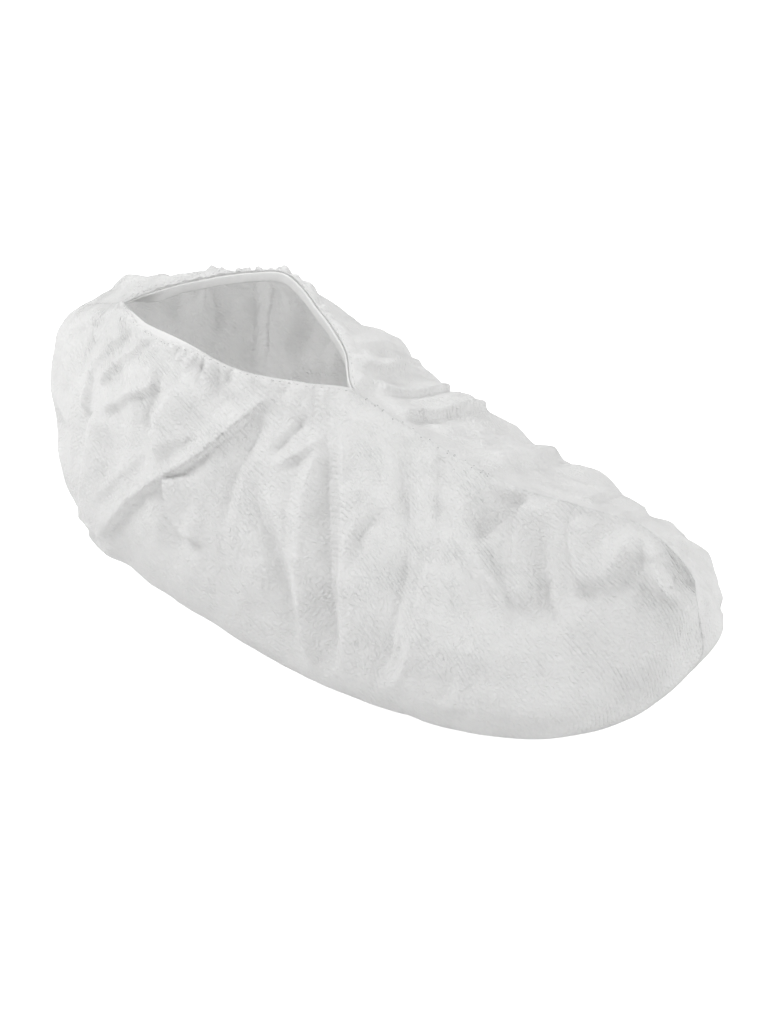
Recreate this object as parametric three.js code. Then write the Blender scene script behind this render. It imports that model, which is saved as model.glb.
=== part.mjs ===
// A shoe cover of thin white laminate, standing in the form that a worn one has.
// Two side panels meet in one seam that runs from the ankle over the instep, round the toe, along the
// sole and up the heel. An elastic band lines the ankle opening.
// X runs from heel to toe, Y to the wearer's left and Z up, in millimetres.
import * as THREE from "three";

// Driving dimensions.
const wall_thickness = 1.6;
const seam_gap = 0.3;
const band_width = 8;
const band_thickness = 1.2;
const band_gap = 0.3;
const band_turn = [4, 6.5];
const edge_drop = 6;
const seam_fade = 12;
const rim_fade = [0.14, 0.26];

// Sections over one side of the cover, from the heel seam to the toe seam. Each passes through the top
// edge, the fullest part of the side, the turn of the sole and the sole seam. Up to section 7 the top
// edge is the rim of the ankle opening, and after it the instep seam. The sole seam is given below the
// floor, and what would lie there is flattened onto it, so that the sole rests on a broad flat.
const sections = [
  { top: [34, 0, 100], side: [0, 0, 82], turn: [22, 0, 19], sole: [42, 0, -4] },
  { top: [49, 11, 107], side: [9, 20, 86], turn: [17, 20, 19], sole: [50, 0, -8] },
  { top: [66, 22, 112], side: [29, 34, 89], turn: [21, 35, 19], sole: [62, 0, -12] },
  { top: [85, 30, 117], side: [60, 51, 88], turn: [38, 50, 18], sole: [86, 0, -14] },
  { top: [104, 34, 120], side: [102, 66, 76], turn: [76, 65, 14], sole: [112, 0, -14] },
  { top: [126, 28, 112], side: [146, 71, 58], turn: [126, 73, 9], sole: [142, 0, -14] },
  { top: [150, 15, 106], side: [184, 72, 41], turn: [169, 76, 5], sole: [175, 0, -14] },
  { top: [166, 0, 99], side: [216, 72, 35], turn: [203, 77, 4], sole: [205, 0, -14] },
  { top: [207, 0, 87], side: [249, 71, 33], turn: [234, 75, 4], sole: [235, 0, -14] },
  { top: [246, 0, 80], side: [284, 68, 28], turn: [270, 70, 5], sole: [262, 0, -14] },
  { top: [283, 0, 83], side: [312, 56, 22], turn: [304, 57, 8], sole: [285, 0, -14] },
  { top: [313, 0, 84], side: [325, 36, 27], turn: [325, 37, 13], sole: [303, 0, -12] },
  { top: [331, 0, 74], side: [336, 18, 37], turn: [336, 20, 22], sole: [314, 0, -8] },
  { top: [337, 0, 66], side: [339, 0, 47], turn: [340, 0, 28], sole: [320, 0, -4] },
];
const last_section = sections.length - 1;
const rim_end = 7;

// Folds of each panel. A fold runs through three places, each given as [section, level], where level is
// 0 at the top edge, 1 at the side, 2 at the turn of the sole and 3 at the sole seam. A ridge has a
// positive height, and a valley a negative one.
const right_folds = [
  { start: [6.7, 0.1], bend: [6.6, 0.9], end: [7.1, 1.9], width: 9, height: -5 },
  { start: [5.6, 0.1], bend: [5.0, 0.35], end: [4.2, 0.8], width: 10, height: 4 },
  { start: [5.7, 0.25], bend: [5.2, 0.6], end: [4.9, 1.1], width: 13, height: 4 },
  { start: [5.3, 0.6], bend: [5.9, 1.0], end: [6.7, 1.9], width: 9, height: -5 },
  { start: [7.6, 0.1], bend: [7.7, 0.4], end: [7.6, 0.9], width: 9, height: 4 },
  { start: [9.1, 0.1], bend: [8.9, 0.2], end: [8.5, 0.4], width: 10, height: -5 },
  { start: [8.2, 0.4], bend: [7.9, 0.7], end: [7.9, 1.5], width: 10, height: 4 },
  { start: [9.2, 0.1], bend: [9.1, 0.4], end: [9.5, 0.6], width: 9, height: 4 },
  { start: [10.0, 0.1], bend: [10.0, 0.25], end: [10.1, 0.4], width: 9, height: 4 },
  { start: [11.0, 0.1], bend: [11.5, 0.2], end: [12.0, 0.3], width: 10, height: -4 },
  { start: [2.0, 0.2], bend: [2.4, 0.5], end: [2.8, 0.9], width: 9, height: 4 },
  { start: [3.8, 0.4], bend: [3.5, 0.7], end: [3.2, 1.0], width: 9, height: 4 },
  { start: [4.2, 0.9], bend: [4.0, 1.4], end: [3.7, 1.8], width: 11, height: -6 },
  { start: [3.2, 1.2], bend: [3.4, 1.6], end: [3.7, 2.0], width: 10, height: 6 },
];
const left_folds = [
  { start: [6.4, 0.1], bend: [6.5, 0.8], end: [6.9, 1.8], width: 10, height: -5 },
  { start: [5.5, 0.2], bend: [4.9, 0.6], end: [4.4, 1.1], width: 12, height: 4 },
  { start: [5.0, 0.5], bend: [5.5, 1.0], end: [6.2, 1.8], width: 10, height: -4 },
  { start: [7.3, 0.2], bend: [7.6, 0.5], end: [7.7, 1.0], width: 10, height: 4 },
  { start: [8.3, 0.1], bend: [8.3, 0.4], end: [8.1, 0.9], width: 10, height: -4 },
  { start: [9.0, 0.1], bend: [9.0, 0.5], end: [8.8, 1.2], width: 10, height: 4 },
  { start: [10.2, 0.1], bend: [10.1, 0.3], end: [10.3, 0.5], width: 9, height: -4 },
  { start: [2.3, 0.2], bend: [2.6, 0.6], end: [2.9, 1.1], width: 10, height: 4 },
  { start: [3.7, 0.4], bend: [3.5, 0.9], end: [3.6, 1.5], width: 10, height: -5 },
  { start: [3.0, 1.3], bend: [3.3, 1.6], end: [3.6, 1.9], width: 11, height: 4 },
];

// Mesh resolution: steps along a panel, steps down each stretch between two levels, and steps along
// half of the band.
const panel_steps = 52;
const level_steps = [10, 6, 4];
const band_steps = 28;

const levels = ["top", "side", "turn", "sole"];
const rails = levels.map(
  (level) => new THREE.CatmullRomCurve3(sections.map((row) => new THREE.Vector3(...row[level]))),
);

// The smooth form of a left panel, flat where it rests on the floor.
function form_point(section, level) {
  const through = rails.map((rail) => rail.getPoint(section / last_section));
  const line = new THREE.CatmullRomCurve3(through);
  const point = line.getPoint(level / (levels.length - 1));
  point.z = Math.max(point.z, 0);
  return point;
}

function form_normal(section, level) {
  const step = 0.01;
  const before = Math.max(section - step, 0);
  const after = Math.min(section + step, last_section);
  const above = Math.max(level - step, 0);
  const below = Math.min(level + step, levels.length - 1);
  const along = form_point(after, level).sub(form_point(before, level));
  const down = form_point(section, below).sub(form_point(section, above));
  return along.cross(down).normalize();
}

// How far a point is from a line through a fold's three places, and how far along it the point lies.
function nearest_on_fold(point, places) {
  let best = { distance: Infinity, along: 0 };
  for (let part = 0; part < places.length - 1; part += 1) {
    const line = new THREE.Line3(places[part], places[part + 1]);
    const share = line.closestPointToPointParameter(point, true);
    const distance = line.at(share, new THREE.Vector3()).distanceTo(point);
    if (distance < best.distance) {
      best = { distance, along: (part + share) / (places.length - 1) };
    }
  }
  return best;
}

function fold_height(point, folds) {
  let height = 0;
  for (const fold of folds) {
    const { distance, along } = nearest_on_fold(point, fold.places);
    const taper = Math.sqrt(Math.max(Math.sin(Math.PI * along), 0.1));
    height += fold.height * taper * Math.exp(-((distance / fold.width) ** 2));
  }
  return height;
}

// Folds die out at the seams and at the rim, so that the panels and the band still meet.
function fold_share(point, level) {
  const from_seam = THREE.MathUtils.smoothstep(point.y, 0, seam_fade);
  const from_rim = THREE.MathUtils.smoothstep(level, ...rim_fade);
  return from_seam * from_rim;
}

// Where the elastic stands clear of the gathers, the panel's edge lies below the rim.
function edge_level(section, drop) {
  if (drop === 0 || section > rim_end) {
    return 0;
  }
  const bare = Math.sin((Math.PI * Math.min(section, 5)) / 5) ** 2;
  return (bare * drop) / form_point(section, 0).distanceTo(form_point(section, 1));
}

// Every point of one panel's outer face, a row of points for each step along the panel.
function outer_grid(folds, drop) {
  const placed = folds.map((fold) => ({
    ...fold,
    places: [fold.start, fold.bend, fold.end].map(([section, level]) => form_point(section, level)),
  }));
  const grid = [];
  for (let step = 0; step <= panel_steps; step += 1) {
    const section = (last_section * step) / panel_steps;
    const first = edge_level(section, drop);
    const row = [];
    level_steps.forEach((count, stretch) => {
      const start = stretch === 0 ? first : stretch;
      for (let k = stretch === 0 ? 0 : 1; k <= count; k += 1) {
        const level = THREE.MathUtils.lerp(start, stretch + 1, k / count);
        const point = form_point(section, level);
        const height = fold_height(point, placed) * fold_share(point, level);
        point.addScaledVector(form_normal(section, level), height);
        row.push(point);
      }
    });
    grid.push(row);
  }
  return grid;
}

// A panel stays on its own side of the seam and above the floor.
function keep_to_side(point, floor) {
  point.y = Math.max(point.y, seam_gap / 2);
  point.z = Math.max(point.z, floor);
}

function inner_grid(outer) {
  const at = (i, j) => outer[THREE.MathUtils.clamp(i, 0, outer.length - 1)][
    THREE.MathUtils.clamp(j, 0, outer[0].length - 1)
  ];
  return outer.map((row, i) => row.map((point, j) => {
    const along = at(i + 1, j).clone().sub(at(i - 1, j));
    const down = at(i, j + 1).clone().sub(at(i, j - 1));
    const inward = down.cross(along).normalize();
    const inner = point.clone().addScaledVector(inward, wall_thickness);
    keep_to_side(inner, wall_thickness);
    return inner;
  }));
}

// A closed wall from its outer and inner faces, mirrored for the right side.
function wall_geometry(outer, inner, mirror) {
  const columns = outer.length;
  const rows = outer[0].length;
  const positions = [...outer.flat(), ...inner.flat()].flatMap((p) => [p.x, mirror * p.y, p.z]);
  const out = (i, j) => i * rows + j;
  const within = (i, j) => columns * rows + out(i, j);
  const triangles = [];
  const quad = (a, b, c, d) => {
    const corners = mirror > 0 ? [a, c, b, a, d, c] : [a, b, c, a, c, d];
    triangles.push(...corners);
  };
  for (let i = 0; i < columns - 1; i += 1) {
    for (let j = 0; j < rows - 1; j += 1) {
      quad(out(i, j), out(i, j + 1), out(i + 1, j + 1), out(i + 1, j));
      quad(within(i, j), within(i + 1, j), within(i + 1, j + 1), within(i, j + 1));
    }
    quad(out(i, 0), out(i + 1, 0), within(i + 1, 0), within(i, 0));
    quad(out(i, rows - 1), within(i, rows - 1), within(i + 1, rows - 1), out(i + 1, rows - 1));
  }
  for (let j = 0; j < rows - 1; j += 1) {
    const end = columns - 1;
    quad(out(0, j), within(0, j), within(0, j + 1), out(0, j + 1));
    quad(out(end, j), out(end, j + 1), within(end, j + 1), within(end, j));
  }
  return make_geometry(positions, triangles);
}

function make_geometry(positions, triangles) {
  const geometry = new THREE.BufferGeometry();
  geometry.setAttribute("position", new THREE.Float32BufferAttribute(positions, 3));
  geometry.setIndex(triangles);
  geometry.computeVertexNormals();
  return geometry;
}

function panel_geometry(folds, drop, mirror) {
  const outer = outer_grid(folds, drop);
  outer.flat().forEach((point) => keep_to_side(point, 0));
  return wall_geometry(outer, inner_grid(outer), mirror);
}

// The band's place at one section of the rim. It lies along the wall behind, and hangs more and more
// upright towards the instep seam. Where it crosses the seam its two sides share one mitred section.
function band_frame(section) {
  const rim = form_point(section, 0);
  const down = form_point(section, 0.1).sub(rim).normalize();
  const upright = THREE.MathUtils.smoothstep(section, ...band_turn);
  down.lerp(new THREE.Vector3(0, 0, -1), upright).normalize();
  const outward = form_normal(section, 0);
  outward.addScaledVector(down, -outward.dot(down)).normalize();
  if (section === 0 || section === rim_end) {
    rim.y = 0;
    outward.y = 0;
    outward.divideScalar(outward.lengthSq());
  }
  return { rim, down, outward };
}

function band_section(section, side) {
  const { rim, down, outward } = band_frame(section);
  const outer_inset = wall_thickness + band_gap;
  const inner_inset = outer_inset + band_thickness;
  const corner = (depth, inset) => {
    const point = rim.clone().addScaledVector(down, depth).addScaledVector(outward, -inset);
    point.y *= side;
    return point;
  };
  return [
    corner(0, outer_inset),
    corner(band_width, outer_inset),
    corner(band_width, inner_inset),
    corner(0, inner_inset),
  ];
}

// The band goes round the rim as one closed loop: forwards on the left and back on the right.
function band_geometry() {
  const loop = [];
  for (let step = 0; step <= band_steps; step += 1) {
    loop.push(band_section((rim_end * step) / band_steps, 1));
  }
  for (let step = band_steps - 1; step > 0; step -= 1) {
    loop.push(band_section((rim_end * step) / band_steps, -1));
  }
  const positions = loop.flat().flatMap((p) => [p.x, p.y, p.z]);
  const triangles = [];
  const corners = 4;
  for (let i = 0; i < loop.length; i += 1) {
    const here = i * corners;
    const next = ((i + 1) % loop.length) * corners;
    for (let j = 0; j < corners; j += 1) {
      const k = (j + 1) % corners;
      triangles.push(here + j, next + k, here + k, here + j, next + j, next + k);
    }
  }
  return make_geometry(positions, triangles);
}

const film = new THREE.MeshStandardMaterial({ color: 0xdedede, roughness: 0.6, metalness: 0 });
const elastic = new THREE.MeshStandardMaterial({ color: 0xe6e6e4, roughness: 0.85, metalness: 0 });

const cover = new THREE.Group();
const pieces = [
  ["right_panel", panel_geometry(right_folds, edge_drop, -1), film],
  ["left_panel", panel_geometry(left_folds, 0, 1), film.clone()],
  ["ankle_band", band_geometry(), elastic],
];
for (const [name, geometry, material] of pieces) {
  const mesh = new THREE.Mesh(geometry, material);
  mesh.name = name;
  cover.add(mesh);
}

// The origin is on the floor, below the middle of the whole cover.
const box = new THREE.Box3().setFromObject(cover);
const middle = box.getCenter(new THREE.Vector3());
cover.position.set(-middle.x, -middle.y, -box.min.z);

export default cover;
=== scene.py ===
"""A microporous shoe cover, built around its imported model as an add-on with six operators."""

import math
from collections import namedtuple
from functools import partial

import bmesh
import bpy
import numpy as np
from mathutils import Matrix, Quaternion, Vector, noise
from numpy.linalg import norm


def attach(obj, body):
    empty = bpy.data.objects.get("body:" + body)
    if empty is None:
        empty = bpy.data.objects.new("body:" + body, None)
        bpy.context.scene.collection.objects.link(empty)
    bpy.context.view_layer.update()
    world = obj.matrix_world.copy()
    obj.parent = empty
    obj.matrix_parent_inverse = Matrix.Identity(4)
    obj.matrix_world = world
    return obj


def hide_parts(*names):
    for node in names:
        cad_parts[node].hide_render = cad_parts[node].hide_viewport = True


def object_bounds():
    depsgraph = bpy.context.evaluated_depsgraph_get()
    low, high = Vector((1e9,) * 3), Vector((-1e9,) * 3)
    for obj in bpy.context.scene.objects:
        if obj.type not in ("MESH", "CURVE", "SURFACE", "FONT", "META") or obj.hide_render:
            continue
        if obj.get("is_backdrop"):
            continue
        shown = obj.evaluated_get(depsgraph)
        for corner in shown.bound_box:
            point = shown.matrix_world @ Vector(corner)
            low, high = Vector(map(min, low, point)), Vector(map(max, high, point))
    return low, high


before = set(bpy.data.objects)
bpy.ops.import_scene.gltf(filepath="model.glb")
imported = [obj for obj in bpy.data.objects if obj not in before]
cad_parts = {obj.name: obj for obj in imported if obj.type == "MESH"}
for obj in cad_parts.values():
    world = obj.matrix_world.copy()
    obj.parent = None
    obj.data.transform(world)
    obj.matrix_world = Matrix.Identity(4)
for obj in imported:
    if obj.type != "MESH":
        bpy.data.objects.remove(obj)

bl_info = {
    "name": "Microporous shoe cover",
    "version": (1, 0, 0),
    "blender": (4, 5, 0),
    "location": "3D View > Sidebar > Cover",
    "description": "Makes a gathered shoe cover of white film laminate with an elastic ankle band",
    "category": "Add Mesh",
}

CAD_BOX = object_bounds()
BODY = "root"
MM = 0.001
CLOTH_MAP = "cloth"

# ---- the cover's form ----

# Places that one side of the cover passes through, in millimetres, in sections from the heel seam to
# the toe seam: the top edge, the fullest part of the side, the turn of the sole and the sole seam.
SECTIONS = np.array((
    ((34, 0, 100), (0, 0, 82), (22, 0, 19), (42, 0, -4)),
    ((49, 11, 107), (9, 20, 86), (17, 20, 19), (50, 0, -8)),
    ((66, 22, 112), (29, 34, 89), (21, 35, 19), (62, 0, -12)),
    ((85, 30, 117), (60, 51, 88), (38, 50, 18), (86, 0, -14)),
    ((104, 34, 120), (102, 66, 76), (76, 65, 14), (112, 0, -14)),
    ((126, 28, 112), (146, 71, 58), (126, 73, 9), (142, 0, -14)),
    ((150, 15, 106), (184, 72, 41), (169, 76, 5), (175, 0, -14)),
    ((166, 0, 99), (216, 72, 35), (203, 77, 4), (205, 0, -14)),
    ((207, 0, 87), (249, 71, 33), (234, 75, 4), (235, 0, -14)),
    ((246, 0, 80), (284, 68, 28), (270, 70, 5), (262, 0, -14)),
    ((283, 0, 83), (312, 56, 22), (304, 57, 8), (285, 0, -14)),
    ((313, 0, 84), (325, 36, 27), (325, 37, 13), (303, 0, -12)),
    ((331, 0, 74), (336, 18, 37), (336, 20, 22), (314, 0, -8)),
    ((337, 0, 66), (339, 0, 47), (340, 0, 28), (320, 0, -4)),
), float)
LAST_SECTION, LAST_LEVEL = len(SECTIONS) - 1, 3
# The section at which the ankle opening ends.
RIM_END = 7
# The frame's origin in the same millimetres.
FRAME_ORIGIN = np.array([169.9, 0.03, 0])

# A fold runs through places given as (section, level): level 0 is the top edge, 1 the side, 2 the turn
# of the sole and 3 the sole seam. Its height is in millimetres, above zero for a ridge and below for a
# valley. `ahead` is its width on the left hand of someone who walks it on the right panel's outside,
# and `behind` on the other hand. `crisp` goes from 0, round, to 1, creased. `fades` are the shares of
# its length over which it comes up and dies away. `lean` tips its crest over to the ahead side.
Fold = namedtuple("Fold", "path height ahead behind crisp fades lean", defaults=(1, (0.25, 0.3), 0))

RIGHT_FOLDS = [Fold(*row) for row in (
    # Heel.
    (((0.5, 0.15), (1, 0.5), (1.9, 0.9), (2.3, 1.3)), 3, 12, 7, 0.4),
    (((0.9, 0.05), (1.3, 0.4), (1.9, 0.9)), 1.8, 3, 10),
    (((1.5, 0.05), (1.9, 0.4), (2.3, 0.85)), 2, 3, 9, 1, (0.1, 0.3)),
    (((2, 0.06), (2.5, 0.5), (2.75, 0.92), (3, 1.26)), 2.6, 3, 12, 1, (0.1, 0.2)),
    (((3, 0.06), (2.9, 0.36), (2.9, 0.66), (3, 0.9)), 2.6, 3, 9, 1, (0.1, 0.2)),
    (((3.3, 0.34), (3.62, 0.42), (3.4, 0.7), (3.2, 1.02)), 3, 3, 9, 1, (0.15, 0.15)),
    (((3.75, 0.38), (3.7, 0.6), (3.78, 0.74), (3.95, 0.7)), -2, 10, 2.5, 1, (0.2, 0.2)),
    (((2.6, 1.1), (2.95, 1.17), (3.2, 1.13)), -2.5, 3, 6, 0.8),
    (((1.7, 1.5), (2.4, 1.55), (3, 1.5)), -5, 16, 14, 0.2, (0.3, 0.3)),
    (((3.15, 1.02), (3.3, 1.26), (3.4, 1.5), (3.52, 1.85)), 5, 22, 6, 0.9, (0.1, 0.1)),
    (((3.95, 0.84), (3.75, 1.24), (3.6, 1.6)), 1.8, 3, 10),
    (((3.5, 1.8), (3.75, 1.9), (4.05, 1.8)), 4, 12, 12, 0.2),
    (((4.2, 1.04), (4.34, 1.17), (4.55, 1.25), (4.8, 1.26)), -3.2, 2.5, 9, 1, (0.2, 0.3)),
    # The big lobe below the gathers, and the rolled fold under it.
    (
        ((4.25, 0.14), (4.05, 0.36), (3.95, 0.58), (4.05, 0.78), (4.2, 0.86)),
        5.5, 22, 4, 0.9, (0.3, 0.2),
    ),
    (((5, 0.1), (4.6, 0.35), (4.25, 0.75)), -1.6, 5, 10, 0.9),
    (
        ((5.5, 0.09), (5.1, 0.26), (4.75, 0.46), (4.33, 0.82), (4.2, 0.96),
         (4, 1.24), (3.88, 1.6), (3.75, 1.85)),
        4.2, 2.8, 16, 1, (0.1, 0.2), 0.8,
    ),
    (((4.25, 0.93), (4.4, 1.12), (4.6, 1.2), (4.85, 1.14)), 5, 18, 2.5, 1, (0.05, 0.25)),
    # The waist.
    (((5.2, 0.5), (5.55, 0.7), (5.9, 1), (6.6, 1.74)), -2.6, 3, 13, 1, (0.2, 0.2)),
    (((6.6, 0.18), (6.5, 0.46), (6.55, 0.75), (6.65, 1.1), (7, 1.7)), -3.6, 3, 17, 1, (0.2, 0.2)),
    (((7.7, 0.5), (7.55, 0.75), (7.5, 1.1), (7.6, 1.6)), -2.4, 3, 20, 1, (0.2, 0.3)),
    (((5.45, 0.2), (5.2, 0.42), (5, 0.64), (4.9, 1.08)), -4, 5, 12, 0.9),
    (((5.35, 0.56), (5.7, 0.74), (6.1, 1.05)), 3, 10, 4, 1, (0.2, 0.35)),
    (((6.35, 0.2), (6, 0.5), (5.97, 0.78), (6.2, 1.2), (6.85, 1.8)), 4.6, 16, 6, 1, (0.12, 0.2)),
    (((6.7, 0.03), (6.7, 0.4), (6.72, 0.8), (6.95, 1.3), (7.2, 1.8)), 4.6, 32, 6, 1, (0.12, 0.25)),
    (((6.4, 0.2), (6, 0.3), (5.5, 0.44)), 2.8, 3, 5, 0.8),
    (((6.1, 0.13), (5.75, 0.28), (5.45, 0.4)), -2, 3, 3, 0.6),
    (((7.5, 0.27), (6.95, 0.52), (6.7, 0.68), (6.75, 1)), 2.4, 8, 3, 0.8),
    (((7.4, 0.4), (7, 0.57), (6.78, 0.76)), -1.6, 4, 3, 0.8),
    (((7.66, 0.03), (7.68, 0.28), (7.65, 0.52)), -1.2, 3, 7, 0.9, (0.1, 0.4)),
    (((7.8, 0.03), (7.8, 0.25), (7.72, 0.8), (7.75, 1.3)), 2.2, 9, 3, 0.9, (0.1, 0.4)),
    (((8.08, 0.02), (8.1, 0.25), (8.05, 0.44)), -1.8, 10, 3, 0.9, (0.1, 0.4)),
    (((8.05, 0.46), (7.85, 0.75), (7.78, 1.25), (7.85, 1.8)), 3.4, 22, 5, 1, (0.15, 0.4)),
    # The toe.
    (((9.3, 0), (8.9, 0.15), (8.5, 0.33)), -5.6, 7, 15, 0.9, (0.15, 0.3)),
    (((8.5, 0.32), (8.65, 0.42), (8.95, 0.5), (9.05, 0.6)), 3.4, 7, 4, 0.9),
    (
        ((9.3, 0.01), (9.14, 0.16), (9.1, 0.38), (9.25, 0.48), (9.4, 0.53)),
        7, 14, 4.2, 0.95, (0.1, 0.25),
    ),
    (((9.55, 0.32), (9.57, 0.42), (9.75, 0.54)), -2.2, 2.5, 5, 0.9),
    (((9.95, 0.03), (9.9, 0.18), (10, 0.32), (10.06, 0.39)), 6.2, 12, 4.4, 0.95, (0.15, 0.2)),
    (((10.95, 0.02), (10.55, 0.24), (10.15, 0.38)), 4.6, 10, 12, 0.95, (0.1, 0.3)),
    (((11, 0), (11.2, 0.07), (11.4, 0.24), (11.7, 0.34), (12.2, 0.28)), 6.8, 9, 4, 0.95, (0.05, 0.35)),
    (((11.3, 0.1), (11.6, 0.18), (11.95, 0.2)), -2.6, 7, 7, 0.3),
)]
LEFT_FOLDS = [Fold(*row) for row in (
    # Instep, from the seam over to the far side.
    (((5.9, 0.05), (5.5, 0.24), (4.9, 0.72)), 2.8, 2.2, 9),
    (((5.85, 0.06), (5.55, 0.28), (5.4, 0.48), (5.15, 0.8)), 2.8, 2.2, 9),
    (((6.4, 0.03), (6.1, 0.2), (5.8, 0.38), (5.3, 0.78)), 3.8, 2.2, 11, 1, (0.1, 0.15)),
    (((6.85, 0.1), (6.5, 0.34), (5.85, 0.62), (5.6, 0.8)), 4.4, 2.4, 14, 1, (0.1, 0.15)),
    (((7.5, 0.03), (7.2, 0.24), (6.9, 0.42), (6.3, 0.7)), 4.4, 2.4, 16, 1, (0.1, 0.15)),
    (((6.45, 0.44), (6.3, 0.56), (6.1, 0.68)), 1.4, 2.5, 5),
    (((7.75, 0.12), (7.35, 0.34), (7, 0.52), (6.7, 0.7)), 2.4, 4, 12, 0.9),
    (((7.5, 0.34), (7.2, 0.5), (6.85, 0.74)), 2.2, 2.5, 5),
    (((7.9, 0.22), (7.45, 0.48), (7.2, 0.66)), 1.8, 2.5, 6),
    (((8.45, 0.06), (8.1, 0.34), (7.3, 0.84)), 5, 8, 16, 0.5, (0.2, 0.2)),
    (((9.2, 0.3), (8.7, 0.55), (8.25, 0.86)), 2.6, 3, 12),
    (((9.7, 0.25), (9.2, 0.55), (8.6, 0.86)), 2.6, 3, 10),
    (((10.4, 0.1), (10.3, 0.3), (9.9, 0.55)), 2.4, 3, 10, 0.9),
    (((11.4, 0.1), (11.3, 0.3), (10.9, 0.6)), 2.6, 4, 10, 0.8),
    # The side that faces away.
    (((6.2, 0.3), (6.4, 0.9), (7, 1.8)), 5, 22, 9, 0.6),
    (((5.6, 0.5), (5.8, 1.1), (6.3, 1.8)), -5, 9, 9, 0.5),
    (((4.9, 0.25), (4.8, 0.7), (4.6, 1.1)), 5, 12, 6, 0.5, (0.45, 0.3)),
    (((4.4, 0.7), (4.9, 1.2), (5.4, 1.8)), -4.5, 7, 10, 0.6),
    (((7.9, 0.6), (7.8, 1), (7.9, 1.6)), 3.5, 12, 6, 0.5),
    (((8.8, 0.7), (8.7, 1.1), (8.9, 1.6)), -3.5, 8, 8, 0.4),
    (((9.8, 0.5), (9.7, 0.9), (9.9, 1.3)), 3, 8, 8, 0.4),
    # Round the heel. These show on the inside through the opening.
    (((3.1, 0.34), (3.25, 0.9), (3.35, 1.4), (3.5, 1.8)), 7.5, 15, 4.5, 1, (0.35, 0.2)),
    (((2.5, 0.34), (2.55, 0.8), (2.6, 1.4)), 5, 12, 4, 1, (0.35, 0.3)),
    (((2.6, 1), (2.75, 1.25), (2.9, 1.55)), -2, 3, 4, 0.9),
    (((1.9, 0.2), (2.1, 0.8), (2.3, 1.5)), -4, 8, 8, 0.4),
    (((1, 0.3), (1.2, 0.9), (1.5, 1.5)), 3.5, 9, 9, 0.3),
    (((3.8, 0.34), (3.75, 1), (3.8, 1.7)), 3.5, 8, 10, 0.5, (0.4, 0.3)),
    (((4.1, 0.9), (4.1, 1.3), (4.2, 1.7)), -3.5, 8, 8, 0.4),
)]


def spacing(start, end):
    """The step of a centripetal curve's parameter from one place to the next."""
    return ((start - end) ** 2).sum(-1, keepdims=True) ** 0.25


def curve_through(points, shares):
    """Places along a centripetal Catmull-Rom curve through the points, whose first axis is the curve."""
    count = len(points)
    place = np.asarray(shares, float) * (count - 1)
    first = np.minimum(place.astype(int), count - 2)
    padded = np.concatenate([2 * points[:1] - points[1:2], points, 2 * points[-1:] - points[-2:-1]])
    a, b, c, d = (padded[first + k] for k in range(4))
    before, middle, after = spacing(a, b), spacing(b, c), spacing(c, d)
    least = 1e-4
    middle = np.where(middle < least, 1, middle)
    before = np.where(before < least, middle, before)
    after = np.where(after < least, middle, after)
    leave = ((b - a) / before - (c - a) / (before + middle) + (c - b) / middle) * middle
    arrive = ((c - b) / middle - (d - b) / (middle + after) + (d - c) / after) * middle
    t = (place - first).reshape(place.shape + (1,) * (points.ndim - 1))
    bend = -3 * b + 3 * c - 2 * leave - arrive
    twist = 2 * b - 2 * c + leave + arrive
    return b + leave * t + bend * t ** 2 + twist * t ** 3


def smooth_form(sections, levels):
    """The unfolded form at every pair of a section and a level, flat where it rests on the floor."""
    sections, levels = np.atleast_1d(sections), np.atleast_1d(levels)
    through = curve_through(SECTIONS, sections / LAST_SECTION)
    through[sections >= RIM_END, 0, 1] = 0
    form = curve_through(np.moveaxis(through, 1, 0), levels / LAST_LEVEL)
    form = np.moveaxis(form, 0, 1)
    form[..., 2] = np.maximum(form[..., 2], 0)
    return form


def unit(vectors):
    return vectors / np.maximum(norm(vectors, axis=-1, keepdims=True), 1e-9)


def distances(places, axis=0):
    """How far each place is from the first, along the grid's lines on the axis."""
    steps = np.diff(places, axis=axis, prepend=np.take(places, [0], axis))
    return norm(steps, axis=-1).cumsum(axis)


def surface_normals(grid):
    """Outward normals of a left-hand grid whose first axis runs to the toe and second down."""
    return unit(np.cross(np.gradient(grid, axis=0), np.gradient(grid, axis=1)))


def smoothstep(low, high, values):
    share = np.clip((values - low) / (high - low), 0, 1)
    return share * share * (3 - 2 * share)


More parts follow.
